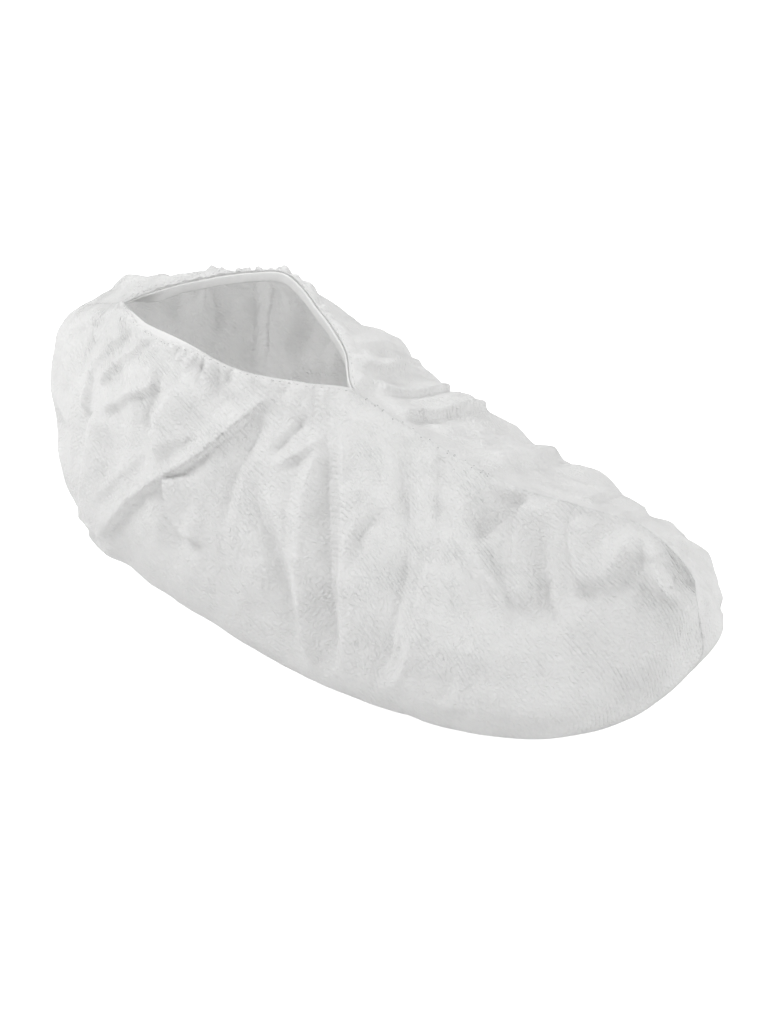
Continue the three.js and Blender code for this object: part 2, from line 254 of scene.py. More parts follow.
class Cloth:
    """One panel's form on a grid, with the folds that are laid on it."""

    def __init__(self, sections, levels, seed):
        self.sections, self.levels, self.seed = sections, levels, seed
        self.form = smooth_form(sections, levels)
        self.normals = surface_normals(self.form)
        self.height = np.zeros(self.form.shape[:2])
        self.slide = np.zeros(self.form.shape)
        self.random = np.random.RandomState(seed)

    def at(self, places):
        """The form at (section, level) places, between the grid's points."""
        along = np.interp(places[:, 0], self.sections, np.arange(len(self.sections)))
        down = np.interp(places[:, 1], self.levels, np.arange(len(self.levels)))
        i = np.minimum(along.astype(int), len(self.sections) - 2)
        j = np.minimum(down.astype(int), len(self.levels) - 2)
        u, v = (along - i)[:, None], (down - j)[:, None]
        near = self.form[i, j] * (1 - v) + self.form[i, j + 1] * v
        far = self.form[i + 1, j] * (1 - v) + self.form[i + 1, j + 1] * v
        return near * (1 - u) + far * u

    def lay(self, fold, steps=20):
        """Adds one fold. Each point takes its height from the nearest place on the fold's line."""
        line = self.at(curve_through(np.array(fold.path, float), np.linspace(0, 1, steps + 1)))
        reach = max(fold.ahead, fold.behind)
        near = np.all((self.form > line.min(0) - reach) & (self.form < line.max(0) + reach), axis=-1)
        points, normals = self.form[near], self.normals[near]
        starts, runs = distances(line), np.diff(line, axis=0)[:, None]
        lengths = np.maximum(norm(runs, axis=-1), 1e-6)
        shares = np.clip(((points - line[:-1, None]) * runs).sum(-1) / lengths ** 2, 0, 1)
        offsets = points - line[:-1, None] - shares[..., None] * runs
        gaps = norm(offsets, axis=-1)
        nearest = gaps.argmin(0), np.arange(len(points))
        along = (starts[:-1, None] + shares * lengths)[nearest] / starts[-1]
        across = np.cross(normals, (runs / lengths[..., None])[nearest[0], 0])
        side = (offsets[nearest] * across).sum(1)
        t = np.clip(gaps[nearest] / np.where(side < 0, fold.ahead, fold.behind), 0, 1)
        creased, rounded = (1 - t) ** 1.1, (1 - t * t) ** 2
        shape = fold.crisp * creased + (1 - fold.crisp) * rounded
        fade_in, fade_out = fold.fades
        strength = smoothstep(0, fade_in, along) * smoothstep(0, fade_out, 1 - along)
        self.height[near] += fold.height * shape * strength
        self.slide[near] -= across * (fold.lean * shape * strength)[:, None]

    def points(self):
        return self.form + self.normals * self.height[..., None] + self.slide


def cloud(uv, size, shift):
    """Smooth noise from about -0.6 to 0.6 over the cloth, in patches of the size in millimetres."""
    flat = (uv.reshape(-1, 2) / size).tolist()
    return np.array([noise.noise((u, v, shift)) for u, v in flat]).reshape(uv.shape[:2])


def creases(cloth, rows, seed):
    """Straight-sided creases, as stiff film takes when it is handled, from the rows of a table."""
    uv = cloth_uv(cloth.form) / MM
    total = np.zeros(uv.shape[:2])
    for k, (heading, pitch, height, wander) in enumerate(rows):
        shift = seed * 3.7 + k * 11.3
        turn = math.radians(heading)
        across = uv[..., 0] * math.cos(turn) + uv[..., 1] * math.sin(turn)
        place = across / pitch + wander * cloud(uv, pitch * 2.5, shift)
        wave = np.abs(place - np.round(place)) * 2 - 0.5
        total += wave * height * smoothstep(-0.1, 0.25, cloud(uv, pitch * 1.8, shift + 5))
    return total


def puffs(cloth, span, count, height):
    """How far the film stands out in round puffs between its stitches to the elastic."""
    edges = np.sort(cloth.random.uniform(*span, count - 1))
    edges = np.concatenate([[span[0]], edges, [span[1]]])
    middles, halves = (edges[1:] + edges[:-1]) / 2, (edges[1:] - edges[:-1]) / 2
    tall = cloth.random.uniform(*height, count)
    t = (cloth.sections[:, None] - middles) / halves
    round_top = np.sqrt(np.clip(1 - t * t, 0, 1)) * np.minimum(halves / FULL_PUFF, 1)
    return (round_top * tall).max(1)


def gathers(random, span, count, height):
    """Short pleats that hang from the rim, at seeded places in the span of sections."""
    for k, section in enumerate(np.sort(random.uniform(*span, count))):
        long = random.uniform(0.1, 0.28)
        drift = random.uniform(-0.25, 0.12) * long * 4
        tall = random.uniform(*height) * (1 if k % 2 else -1)
        wide = random.uniform(2, 4.2)
        path = ((section, 0.01), (section + drift * 0.4, long * 0.5), (section + drift, long))
        yield Fold(path, tall, wide, wide * random.uniform(0.7, 1.3), 0.5, (0.15, 0.75))


# ---- meshes ----

def grid_quads(columns, rows, first=0, flip=False, close=False):
    """Faces of a grid of points. `close` joins its last column to its first."""
    i, j = np.indices((columns if close else columns - 1, rows - 1)).reshape(2, -1)
    following = (i + 1) % columns
    corners = [i * rows + j, i * rows + j + 1, following * rows + j + 1, following * rows + j]
    if flip:
        corners = corners[::-1]
    return (np.stack(corners, 1) + first).tolist()


def wall(outer, inner, flip):
    """Vertices and faces of a closed thin wall between two grids of the same size."""
    columns, rows = outer.shape[:2]
    count = columns * rows
    vertices = np.concatenate([outer.reshape(-1, 3), inner.reshape(-1, 3)])
    faces = grid_quads(columns, rows, 0, flip) + grid_quads(columns, rows, count, not flip)
    index = np.arange(count).reshape(columns, rows)
    for edge in (index[:, 0], index[:, -1][::-1], index[0, :][::-1], index[-1, :]):
        a, b = edge[:-1], edge[1:]
        strip = np.stack([a, b, b + count, a + count], 1)
        faces += (strip[:, ::-1] if flip else strip).tolist()
    return vertices, faces


def add_object(name, data):
    added = bpy.data.objects.new(name, data)
    bpy.context.scene.collection.objects.link(added)
    return added


def make_piece(name, vertices, faces, material, uv=None):
    """One visible piece on the body, from places in millimetres from the heel seam."""
    mesh = bpy.data.meshes.new(name)
    places = (vertices.reshape(-1, 3) - FRAME_ORIGIN) * MM
    mesh.from_pydata(places.tolist(), [], faces)
    mesh.shade_smooth()
    if uv is not None:
        layer = mesh.uv_layers.new(name=CLOTH_MAP)
        corners = np.empty(len(mesh.loops), int)
        mesh.loops.foreach_get("vertex_index", corners)
        layer.data.foreach_set("uv", uv[corners].astype(np.float32).ravel())
    mesh.materials.append(material)
    piece = add_object(name, mesh)
    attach(piece, BODY)
    return piece


def round_piece(name, lines, material, uv=None, close=False):
    """A piece with closed rings for its sections, from the lines that run along it."""
    grid = np.stack(lines + lines[:1], 1)
    faces = grid_quads(*grid.shape[:2], close=close)
    piece = make_piece(name, grid, faces, material, uv)
    work = bmesh.new()
    work.from_mesh(piece.data)
    bmesh.ops.remove_doubles(work, verts=work.verts, dist=1e-6)
    work.to_mesh(piece.data)
    work.free()
    return piece


def cloth_uv(grid):
    """Distances over the cloth in metres, from the middle section and from the top edge."""
    along = distances(grid)
    return np.stack([along - along[len(along) // 2], distances(grid, 1)], -1) * MM


def wall_uv(grid):
    """The same map for both faces of a wall."""
    return np.tile(cloth_uv(grid).reshape(-1, 2), (2, 1))


# ---- shader nodes ----

def built_once(store):
    """Makes a function build the group or material of its own name once, and then find it."""
    def wrap(build):
        def find_or_build():
            return getattr(bpy.data, store).get(build.__name__) or build(build.__name__)
        return find_or_build
    return wrap


def add_node(tree, kind, inputs, **settings):
    """Adds a shader node and gives its outputs. An input is a plain value or another node's output."""
    node = tree.nodes.new("ShaderNode" + kind)
    for name, setting in settings.items():
        setattr(node, name, setting)
    for label, value in inputs.items():
        if isinstance(value, bpy.types.NodeSocket):
            tree.links.new(value, node.inputs[label])
        else:
            node.inputs[label].default_value = value
    return node.outputs


def math_node(tree, operation, *values):
    return add_node(tree, "Math", dict(enumerate(values)), operation=operation)[0]


def noise_node(tree, place, **inputs):
    return add_node(tree, "TexNoise", {"Vector": place, **inputs})[0]


def cloth_place(tree):
    """The place on the cloth in metres, and its parts along and down."""
    place = add_node(tree, "UVMap", {}, uv_map=CLOTH_MAP)[0]
    return place, *add_node(tree, "SeparateXYZ", {0: place})[:2]


def object_place(tree):
    return add_node(tree, "TexCoord", {})["Object"]


def new_group(name, inputs, outputs=("Height",)):
    """An empty shader node group, with its inputs' defaults by name. Only tones are colours."""
    group = bpy.data.node_groups.new(name, "ShaderNodeTree")
    for way, labels in (("INPUT", inputs), ("OUTPUT", outputs)):
        for label in labels:
            kind = "NodeSocketColor" if label in ("Color", "Darker") else "NodeSocketFloat"
            socket = group.interface.new_socket(label, in_out=way, socket_type=kind)
            if way == "INPUT":
                socket.default_value = inputs[label]
    return group, group.nodes.new("NodeGroupInput").outputs, group.nodes.new("NodeGroupOutput").inputs


@built_once("node_groups")
def emboss(name):
    """Fine crossed ribs pressed into the film, in the cloth's own directions."""
    group, given, result = new_group(name, {"Pitch": 0.002, "Second": 0.4})
    calculate = partial(math_node, group)
    place, along, down = cloth_place(group)
    wobble = calculate("MULTIPLY", noise_node(group, place, Scale=45, Detail=2), 2.6)
    ribs = []
    for share_along, share_down in ((-0.56, 0.83), (0.83, 0.56)):
        x = calculate("MULTIPLY", along, share_along * math.pi)
        y = calculate("MULTIPLY", down, share_down * math.pi)
        phase = calculate("DIVIDE", calculate("ADD", x, y), given["Pitch"])
        wave = calculate("SINE", calculate("ADD", phase, wobble))
        ribs.append(calculate("ABSOLUTE", wave))
    second = calculate("MULTIPLY", ribs[1], given["Second"])
    cover = {"Value": noise_node(group, place, Scale=60), "From Min": 0.4, "From Max": 0.65}
    cover = add_node(group, "MapRange", {**cover, "To Min": 0.15})[0]
    both = calculate("ADD", ribs[0], second)
    group.links.new(calculate("MULTIPLY", both, cover), result["Height"])
    return group


@built_once("node_groups")
def crinkle(name):
    """Fine creases that run every way, and finer ones among them."""
    group, given, result = new_group(name, {"Size": 140, "Detail": 6})
    place = object_place(group)
    warp = add_node(group, "TexNoise", {"Vector": place, "Scale": 25})["Color"]
    push = {0: warp, 1: (0.012, 0.012, 0.012), 2: place}
    push = add_node(group, "VectorMath", push, operation="MULTIPLY_ADD")[0]
    ridged = {"Vector": push, "Scale": given["Size"], "Detail": given["Detail"], "Offset": 1}
    ridged = add_node(group, "TexNoise", ridged, noise_type="RIDGED_MULTIFRACTAL")[0]
    group.links.new(ridged, result["Height"])
    return group


@built_once("node_groups")
def crease(name):
    """Straight-sided creases across one heading of the cloth, in patches."""
    inputs = {"Pitch": 0.004, "Along": 1, "Down": 0, "Wander": 2, "Patch": 70}
    group, given, result = new_group(name, inputs)
    calculate = partial(math_node, group)
    place, along, down = cloth_place(group)
    drift = noise_node(group, place, Scale=80, Detail=3)
    patch = noise_node(group, place, Scale=given["Patch"], Detail=2)
    across = calculate("MULTIPLY", along, given["Along"])
    across = calculate("MULTIPLY_ADD", down, given["Down"], across)
    across = calculate("DIVIDE", across, given["Pitch"])
    across = calculate("MULTIPLY_ADD", drift, given["Wander"], across)
    wave = calculate("PINGPONG", across, 0.5)
    cover = {"Value": patch, "From Min": 0.42, "From Max": 0.62}
    cover = add_node(group, "MapRange", cover, interpolation_type="SMOOTHSTEP")[0]
    group.links.new(calculate("MULTIPLY", wave, cover), result["Height"])
    return group


@built_once("node_groups")
def mottle(name):
    """Slow, faint changes of tone, as film takes where it is bonded more or less."""
    tones = {"Color": (0.7, 0.7, 0.7, 1), "Darker": (0.6, 0.6, 0.6, 1)}
    inputs = {**tones, "Size": 90, "Rough": 0.5, "Spread": 0.1}
    group, given, result = new_group(name, inputs, ("Color", "Roughness"))
    calculate = partial(math_node, group)
    tone = noise_node(group, object_place(group), Scale=given["Size"], Detail=8, Roughness=0.65)
    mix = {"Factor": tone, 6: given["Color"], 7: given["Darker"]}
    group.links.new(add_node(group, "Mix", mix, data_type="RGBA")[2], result["Color"])
    change = calculate("MULTIPLY", calculate("SUBTRACT", tone, 0.5), given["Spread"])
    group.links.new(calculate("ADD", change, given["Rough"]), result["Roughness"])
    return group


def place_group(tree, group, **values):
    return add_node(tree, "Group", values, node_tree=group)


# ---- materials ----

def new_material(name, color, darker, **grain):
    """A material in a colour mottled with a darker share of it. Gives its tree, shader and tone."""
    material = bpy.data.materials.new(name)
    material.use_nodes = True
    tree = material.node_tree
    shader = tree.nodes["Principled BSDF"]
    tones = {"Color": (*color, 1), "Darker": (*(channel * darker for channel in color), 1)}
    tone = place_group(tree, mottle(), **tones, **grain)
    tree.links.new(tone["Color"], shader.inputs["Base Color"])
    tree.links.new(tone["Roughness"], shader.inputs["Roughness"])
    return material, tree, shader, tone["Color"]


def add_relief(tree, shader, rows):
    """Bumps laid on one another, from (group, height in metres, the group's values) rows."""
    normal = None
    for group, height, values in rows:
        inputs = {"Height": place_group(tree, group, **values)[0], "Distance": height}
        if normal:
            inputs["Normal"] = normal
        normal = add_node(tree, "Bump", inputs)[0]
    tree.links.new(normal, shader.inputs["Normal"])
    return normal


def add_sheer(tree, shader, tone, normal, share):
    """Lets a share of the light go into the material and out on the other side."""
    through = add_node(tree, "BsdfTranslucent", {"Color": tone, "Normal": normal})[0]
    mix = add_node(tree, "MixShader", {"Fac": share, 1: shader.outputs[0], 2: through})[0]
    tree.links.new(mix, tree.nodes["Material Output"].inputs["Surface"])


@built_once("materials")
def white_film(name):
    """White microporous film on a bonded web: matt, faintly waxy, embossed and finely creased."""
    finish = bpy.context.scene.cover_finish
    material, tree, shader, tone = new_material(
        name, finish.film, 0.94, Size=90, Rough=finish.film_roughness, Spread=0.15
    )
    shader.inputs["Specular IOR Level"].default_value = 0.3
    normal = add_relief(tree, shader, [
        (crinkle(), 0.00015, {"Size": 75, "Detail": 2}),
        (crease(), 0.00015, {"Pitch": 0.0034, "Along": 1, "Down": 0.1, "Patch": 45}),
        (crease(), 0.0002, {"Pitch": 0.0046, "Along": 0.85, "Down": -0.5, "Patch": 60}),
        (crease(), 0.0002, {"Pitch": 0.0062, "Along": 0.4, "Down": 0.9, "Patch": 50}),
        (crinkle(), 0.00018, {"Size": 480, "Detail": 6}),
        (emboss(), finish.emboss_depth, {"Pitch": finish.emboss_pitch, "Second": 0.35}),
    ])
    add_sheer(tree, shader, tone, normal, finish.film_sheer)
    return material


@built_once("materials")
def knit_elastic(name):
    """Knitted elastic: fine ribs along it and a stitch across them."""
    band = bpy.context.scene.cover_finish.band
    material, tree, shader, tone = new_material(name, band, 0.9, Size=400, Rough=0.85, Spread=0.1)
    shader.inputs["Sheen Weight"].default_value = 0.2
    normal = add_relief(tree, shader, [
        (emboss(), 0.00002, {"Pitch": 0.0011, "Second": 0.9}),
        (crinkle(), 0.00002, {"Size": 900, "Detail": 2}),
    ])
    add_sheer(tree, shader, tone, normal, 0.3)
    return material


@built_once("materials")
def sewing_thread_painted_shade(name):
    """Spun sewing thread, greyer than the film as painted shade: the grey stands in for the shadow in the
    needle holes round each stitch, as the thread itself is nearly as white as the film.
    """
    thread = bpy.context.scene.cover_finish.thread
    material, tree, shader, _ = new_material(name, thread, 0.8, Size=900, Rough=0.8, Spread=0.1)
    add_relief(tree, shader, [(crinkle(), 0.00004, {"Size": 2500, "Detail": 2})])
    return material


@built_once("materials")
def studio_floor(name):
    """A pale matt floor with a glow that only the camera sees."""
    stage = bpy.context.scene.cover_stage
    material, tree, shader, _ = new_material(name, stage.floor, 0.995, Size=3, Rough=0.9, Spread=0.05)
    shader.inputs["Specular IOR Level"].default_value = 0.1
    shader.inputs["Emission Color"].default_value = (1, 1, 1, 1)
    seen = tree.nodes.new("ShaderNodeLightPath").outputs["Is Camera Ray"]
    glow = math_node(tree, "MULTIPLY", seen, stage.floor_glow)
    tree.links.new(glow, shader.inputs["Emission Strength"])
    return material


# ---- settings ----

Number = bpy.props.FloatProperty
Length = partial(Number, unit="LENGTH")
Share = partial(Number, min=0, max=1, subtype="FACTOR")
Color = partial(bpy.props.FloatVectorProperty, min=0, max=1, size=3, subtype="COLOR")


class CoverSizes(bpy.types.PropertyGroup):
    """Sizes of the cover's parts."""

    film_thickness: Length(
        name="Film thickness", description="Thickness of the laminate",
        default=0.0004, min=0.0001, max=0.002,
    )
    band_width: Length(
        name="Band width", description="Width of the elastic round the ankle opening",
        default=0.0076, min=0.003, max=0.02,
    )
    band_thickness: Length(
        name="Band thickness", description="Thickness of the elastic",
        default=0.0011, min=0.0003, max=0.003,
    )
    edge_drop: Length(
        name="Bare elastic", description="How far the right panel's edge lies below the elastic's",
        default=0.0026, min=0, max=0.01,
    )
    stitch_pitch: Length(
        name="Stitch pitch", description="Distance from one stitch of the ankle seam to the next",
        default=0.0036, min=0.001, max=0.01,
    )


class CoverFinish(bpy.types.PropertyGroup):
    """Colours and surface of the cover's materials."""

    film: Color(name="Film", description="Colour of the film", default=(0.92, 0.92, 0.917))
    band: Color(name="Elastic", description="Colour of the elastic band", default=(0.85, 0.85, 0.845))
    # The thread's grey is painted shade for the needle holes round the stitches; the thread itself is
    # nearly white.
    thread: Color(name="Thread", description="Colour of the sewing thread", default=(0.6, 0.6, 0.6))
    film_roughness: Share(name="Film roughness", description="How matt the film is", default=0.5)
    film_sheer: Share(
        name="Film sheerness", description="Share of the light that goes into the film and not back",
        default=0.55,
    )
    emboss_pitch: Length(
        name="Emboss pitch", description="Distance between the embossed ribs",
        default=0.0022, min=0.0005, max=0.01,
    )
    emboss_depth: Length(
        name="Emboss depth", description="Height of the embossed ribs",
        default=0.00026, min=0, max=0.001,
    )


class CoverStage(bpy.types.PropertyGroup):
    """The floor, the light and the camera."""

    floor: Color(name="Floor", description="Colour of the studio floor", default=(0.88, 0.88, 0.88))
    floor_glow: Number(
        name="Floor glow", description="Light that comes up through the floor, as on a light table",
        default=0.8, min=0, max=2,
    )
    key_power: Number(
        name="Key light", description="Power of the soft light above the heel, in watts",
        default=16, min=0, max=200,
    )
    fill_power: Number(
        name="Fill light", description="Power of the wide light beyond the toe, in watts",
        default=8.5, min=0, max=200,
    )
    sky: Number(
        name="Surround", description="Brightness of the white surround",
        default=0.8, min=0, max=3,
    )
    lens: Number(
        name="Lens", description="Focal length of the camera, in millimetres",
        default=113.5, min=20, max=300,
    )
    roll: Number(
        name="Roll", description="How far the camera is turned about its own line of sight",
        default=math.radians(4.8), subtype="ANGLE",
    )


# ---- panels ----

PANEL_COLUMNS = 360
# Rows from the top edge to the side, on to the turn of the sole, and on to the sole seam.
PANEL_ROWS = (70, 44, 18)

# What differs between the panels. `gathers` and `puff_height` are spans of height in millimetres, and
# `creased` and `thread` are shares of the full size.
Side = namedtuple("Side", "piece node mirror folds seed gathers puffs puff_height creased thread")
RIGHT = Side(
    "right_side_panel", "right_panel", -1, RIGHT_FOLDS, 11, (0.7, 2.1), 44, (0.2, 0.9), 0.55, 1,
)
LEFT = Side("left_side_panel", "left_panel", 1, LEFT_FOLDS, 23, (0.5, 1.4), 34, (0.7, 2), 1, 0.5)

# Spans of sections along the rim, with the number of gathers in each.
GATHERS = (((0.3, 2.2), 14), ((2.2, 4.8), 26), ((4.8, 6.9), 22))
# Puffs of less than this half width, in sections, are lower.
PUFFED_RIM, FULL_PUFF = (0.1, 6.9), 0.12

# Heading in degrees, pitch and height in millimetres, and wander of each set of creases.
CREASES = (
    (8, 34, 2.6, 1.2), (-28, 27, 2, 1.2), (62, 38, 2.4, 1.4), (-58, 30, 1.8, 1.2),
    (15, 14, 0.6, 1.2), (-40, 13, 0.5, 1.2), (80, 17, 0.5, 1.4),
)
WAIST_CREASES = ((4, 6, 0.3, 0.6), (-12, 8.5, 0.35, 0.6))
WAIST, WAIST_REACH = 7.2, 1.3

# Millimetres: a panel's distance from the seam's plane, the groove along the seam, the lift of the
# film off the elastic and how low a valley may dip there.
SEAM_SIDE = 0.06
GROOVE_DEPTH, GROOVE_REACH = 0.45, 1.8
BAND_LIFT, BAND_FLOOR = 0.6, 0.05
# The finished panels' outer grids, for the stitches.
PANELS = {}


def panel_levels():
    """Levels of a panel's rows, closer together near the top edge."""
    upper, middle, lower = (np.linspace(0, 1, rows + (k > 0)) for k, rows in enumerate(PANEL_ROWS))
    return np.concatenate([upper ** 1.25, 1 + middle[1:], 2 + lower[1:]])


def panel_sections():
    """Sections of a panel's columns, evenly spaced along its side."""
    sections = np.linspace(0, LAST_SECTION, 400)
    run = distances(smooth_form(sections, 0.7)[:, 0])
    return np.interp(np.linspace(0, run[-1], PANEL_COLUMNS), run, sections)


def bare_share(sections):
    """Where the elastic stands clear of the gathers, from 0 to 1."""
    return np.where(sections < 5, np.sin(np.pi * np.minimum(sections, 5) / 5) ** 2, 0)


def crumple(cloth, side):
    """Adds the creases that handling leaves, fewer by the rim, the seam, the sole and the toe."""
    calm = 1 - 0.5 * smoothstep(8.2, 9.6, cloth.sections)
    wear = smoothstep(0.02, 0.2, cloth.levels) * (1 - 0.6 * smoothstep(1.3, 1.8, cloth.levels))
    wear = wear[None, :] * smoothstep(0, 8, cloth.form[..., 1]) * calm[:, None]
    cloth.height += creases(cloth, CREASES, side.seed) * wear * side.creased
    waist = np.exp(-((cloth.sections - WAIST) / WAIST_REACH) ** 2)[:, None]
    cloth.height += creases(cloth, WAIST_CREASES, side.seed + 2) * wear * waist


def puff_out(cloth, side):
    """Swells the film between its stitches to the elastic, and lifts its edge there."""
    puffed = puffs(cloth, PUFFED_RIM, side.puffs, side.puff_height)[:, None]
    swell = smoothstep(0, 0.05, cloth.levels) * (1 - smoothstep(0.06, 0.3, cloth.levels))
    lift = smoothstep(0, 0.03, cloth.levels) * (1 - smoothstep(0.03, 0.12, cloth.levels))
    cloth.height += puffed * swell
    cloth.slide[..., 2] += puffed * lift * 0.7


def beside_opening(cloth, level):
    """Which points lie along the ankle opening, above the level."""
    return (cloth.sections <= RIM_END)[:, None] & (cloth.levels < level)[None, :]


def clear_band(cloth):
    """Lifts the film off the elastic that lines it, so that no valley dips into the band."""
    beside = 1 - smoothstep(RIM_END, RIM_END + 0.4, cloth.sections)[:, None]
    down = distances(cloth.form, 1)
    lined = (1 - smoothstep(8.5, 16, down)) * beside
    cloth.height += BAND_LIFT * smoothstep(0, 3, down) * smoothstep(0, 7, cloth.form[..., 1]) * lined
    deepest = 12
    cloth.height = np.maximum(cloth.height, BAND_FLOOR - deepest * (1 - lined))


def toe_corner(form):
    """The least distance from the seam's plane, so that a panel doesn't lie flat in it at the toe."""
    return 0.5 * np.minimum(np.minimum(distances(form, 1), distances(form[::-1])[::-1]), 8)


def drop_edge(grid, sections, drop):
    """Slides the rows near the rim down, so that the edge lies below the bare elastic."""
    length = distances(grid, 1)
    moved = grid.copy()
    reach = 30
    for i, share in enumerate(bare_share(sections) * (sections <= RIM_END)):
        if share > 0.01:
            wanted = length[i] + drop * share * np.clip(1 - length[i] / reach, 0, 1)
            for axis in range(3):
                moved[i, :, axis] = np.interp(wanted, length[i], grid[i, :, axis])
    return moved


def build_panel(side):
    sizes = bpy.context.scene.cover_sizes
    thick = sizes.film_thickness / MM
    sections = panel_sections()
    cloth = Cloth(sections, panel_levels(), side.seed)
    for fold in side.folds:
        cloth.lay(fold)
    for span, count in GATHERS:
        for fold in gathers(cloth.random, span, count, side.gathers):
            cloth.lay(fold, steps=4)
    crumple(cloth, side)
    puff_out(cloth, side)
    from_seam = cloth.form[..., 1]
    cloth.height *= np.where(beside_opening(cloth, 1), 1, smoothstep(0, 7, from_seam))
    clear_band(cloth)
    grid = cloth.points()
    groove = GROOVE_DEPTH * np.exp(-(from_seam / GROOVE_REACH) ** 2) * ~beside_opening(cloth, 0.5)
    grid -= cloth.normals * groove[..., None] * np.array([1, 0, 1])
    if side is RIGHT:
        grid = drop_edge(grid, sections, sizes.edge_drop / MM)
    at_toe = smoothstep(11.2, 12.2, sections)[:, None]
    grid[..., 1] = np.maximum(grid[..., 1], np.maximum(SEAM_SIDE, toe_corner(cloth.form) * at_toe))
    grid[..., 2] = np.maximum(grid[..., 2], 0)
    inner = grid - surface_normals(grid) * thick
    inner[..., 1] = np.maximum(inner[..., 1], SEAM_SIDE)
    inner[..., 2] = np.maximum(inner[..., 2], thick)
    scale = np.array([1, side.mirror, 1])
    vertices, faces = wall(grid * scale, inner * scale, side is LEFT)
    panel = make_piece(side.piece, vertices, faces, white_film(), wall_uv(cloth.form))
    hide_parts(side.node)
    PANELS[side.piece] = grid * scale


class COVER_OT_right_panel(bpy.types.Operator):
    """Make the right panel, the side nearest the camera, with its folds and gathers"""

    bl_idname = "cover.right_panel"
    bl_label = "Right panel"

    def execute(self, context):
        build_panel(RIGHT)
        return {"FINISHED"}


class COVER_OT_left_panel(bpy.types.Operator):
    """Make the left panel, the far side, with folds of its own"""

    bl_idname = "cover.left_panel"
    bl_label = "Left panel"

    def execute(self, context):
        build_panel(LEFT)
        return {"FINISHED"}


# ---- elastic, seam and stitches ----

BAND_COLUMNS, BAND_SIDES = 420, 16
# Millimetres: how far the elastic stands above the film where it is bare, its distance inside it, and
# the depth at which the seam allowance starts.
BARE_LIFT, BAND_GAP, SEAM_SUNK = 2.4, 0.1, 0.75
# Places along half a stitch, and the share of the thread's full thickness there.
STITCH_PROFILE = ((-1, 0.35), (-0.7, 1), (0, 1), (0.7, 1), (1, 0.35))
STITCH_SIDES = 6


def turned(directions, towards, share):
    return unit(directions * (1 - share) + np.array(towards) * share)


def rim_side(sections, lean):
    """Places along the left half of the rim, with the directions down the elastic and outward at each.
    lean is how far the elastic follows the film, from 0, nearly upright, to 1."""
    form = smooth_form(sections, [0, 0.01, 0.1])
    step = smooth_form(np.minimum(sections + 0.01, RIM_END), 0)[:, 0]
    back = smooth_form(np.maximum(sections - 0.01, 0), 0)[:, 0]
    rim = form[:, 0]
    outward = unit(np.cross(step - back, form[:, 1] - rim))
    down = unit(form[:, 2] - rim)
    down = turned(down, (0, -0.35, -0.94), (1 - lean) * smoothstep(0.2, 1.2, sections)[:, None])
    down = turned(down, (0, 0, -1), smoothstep(4, 6.5, sections)[:, None])
    outward = unit(outward - down * (outward * down).sum(1, keepdims=True))
    for end in (0, -1):
        outward[end, 1] = 0
        outward[end] /= norm(outward[end])
        rim[end, 1] = 0
    return rim, down, outward


def squared(value, power):
    """A sine or cosine made boxy, the more so the lower the power."""
    return math.copysign(abs(value) ** power, value)


class COVER_OT_ankle_band(bpy.types.Operator):
    """Make the knitted elastic that lines the ankle opening"""

    bl_idname = "cover.ankle_band"
    bl_label = "Ankle band"

    def execute(self, context):
        sizes = context.scene.cover_sizes
        sections = np.linspace(0, RIM_END, BAND_COLUMNS)
        left, right = rim_side(sections, 0.1), rim_side(sections, 1)
        rim, down, outward = (np.concatenate([a, (b * (1, -1, 1))[-2:0:-1]]) for a, b in zip(left, right))
        # On the left its edge rolls in and the film covers it. On the right it stands bare.
        rolled = 0.42 * smoothstep(0.3, 1.5, sections) * (1 - 0.6 * smoothstep(4.5, 6.5, sections))
        shown = np.concatenate([1 - rolled, np.ones(BAND_COLUMNS - 2)])
        covered = 0.5 * smoothstep(0, 1, sections) * (1 - smoothstep(6, 7, sections))
        lifted = np.concatenate([-covered, (bare_share(sections) * BARE_LIFT)[-2:0:-1]])
        width, thick = sizes.band_width / MM, sizes.band_thickness / MM
        gap = sizes.film_thickness / MM + BAND_GAP
        run = norm(np.diff(rim, axis=0, append=rim[:1]), axis=1).cumsum()
        pucker = 0.03 * np.sin(run * math.tau / 3.6) + 0.05 * np.sin(run * math.tau / 17)
        lines = []
        for turn in np.arange(BAND_SIDES) * math.tau / BAND_SIDES:
            across, out = squared(math.cos(turn), 0.35), squared(math.sin(turn), 0.6)
            depth = width * shown * (0.5 + 0.5 * across) + 0.2 - lifted + pucker * 0.6
            inset = gap + thick / 2 - out * thick / 2 + pucker
            lines.append(rim + down * depth[:, None] - outward * inset[:, None])
        edge = np.linspace(0, 2 * (width + thick), BAND_SIDES + 1)
        uv = np.stack(np.broadcast_arrays(distances(rim)[:, None], edge[None, :]), -1).reshape(-1, 2) * MM
        band = round_piece("ankle_elastic", lines, knit_elastic(), uv, close=True)
        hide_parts("ankle_band")
        return {"FINISHED"}


def seam_line(steps):
    """Places along the seam, from the rim over the toe and the sole to the heel, with the direction
    inward and the distance from the rim at each."""
    line = np.concatenate([
        smooth_form(np.linspace(RIM_END, LAST_SECTION, steps), 0)[:, 0],
        smooth_form(LAST_SECTION, np.linspace(0, LAST_LEVEL, steps // 3)[1:])[0],
        smooth_form(np.linspace(LAST_SECTION, 0, steps)[1:], LAST_LEVEL)[:, 0],
        smooth_form(0, np.linspace(LAST_LEVEL, 0, steps // 3)[1:])[0],
    ])
    line[:, 1] = 0
    run = distances(line)
    even = np.linspace(0, run[-1], steps * 3)
    line = np.stack([np.interp(even, run, line[:, axis]) for axis in range(3)], 1)
    ahead = unit(np.gradient(line, axis=0))
    return line, np.stack([ahead[:, 2], 0 * even, -ahead[:, 0]], 1), even


